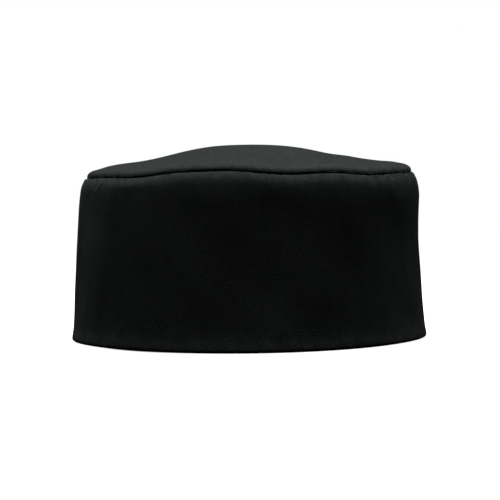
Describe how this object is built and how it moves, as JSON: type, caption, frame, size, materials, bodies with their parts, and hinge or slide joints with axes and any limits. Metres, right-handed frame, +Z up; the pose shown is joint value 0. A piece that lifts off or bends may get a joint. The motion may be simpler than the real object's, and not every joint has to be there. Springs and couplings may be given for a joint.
{
  "type": "pillbox chef hat",
  "caption": "Low black chef hat: a domed crown disc sewn to a tapered stiffened side band, open below for the head, with a hook-and-loop closure tab across a slit at the back.",
  "frame": {"origin": "on the hat's axis, in the plane of its hem", "axes": "+Z up through the crown, -Y to the front, +Y to the back slit, +X to the left of a wearer who faces -Y"},
  "size_m": [0.189, 0.1917, 0.1044],
  "materials": {
    "black_twill": "matt steep twill of polyester and cotton, faint sheen at grazing angles",
    "black_poplin": "matt plain weave",
    "grey_nonwoven": "matt non-woven stiffener",
    "black_terry": "matt looped towelling",
    "black_thread": "spun polyester thread, low sheen",
    "black_hook_tape": "nylon hooks on a woven ground",
    "black_loop_tape": "brushed nylon loops",
    "white_satin": "satin woven label, blank"
  },
  "bodies": {
    "hat": {"crown_panel": "black_twill", "crown_interfacing": "grey_nonwoven", "crown_lining": "black_poplin", "crown_seam_tape": "black_poplin", "crown_seam_stitching": "black_thread", "side_band": "black_twill", "band_stiffener": "grey_nonwoven", "band_lining": "black_poplin", "sweatband": "black_terry", "sweatband_hem_stitching": "black_thread", "sweatband_top_stitching": "black_thread", "slit_binding": "black_twill", "slit_binding_stitching": "black_thread", "slit_bartack": "black_thread", "care_label": "white_satin", "care_label_stitching": "black_thread", "tab_base": "black_twill", "tab_base_stitching": "black_thread", "loop_tape": "black_loop_tape", "loop_tape_stitching": "black_thread"},
    "closure_tab": {"tab_outer": "black_twill", "tab_facing": "black_poplin", "hook_tape": "black_hook_tape", "tab_topstitching": "black_thread"}
  },
  "joints": [
    {"name": "closure_tab_hinge", "type": "hinge", "parent": "hat", "child": "closure_tab", "pos_m": [0.01695, 0.09331, 0.018], "axis": [0.0118, 0.0649, -0.9978], "range_deg": [0, 120]}
  ]
}
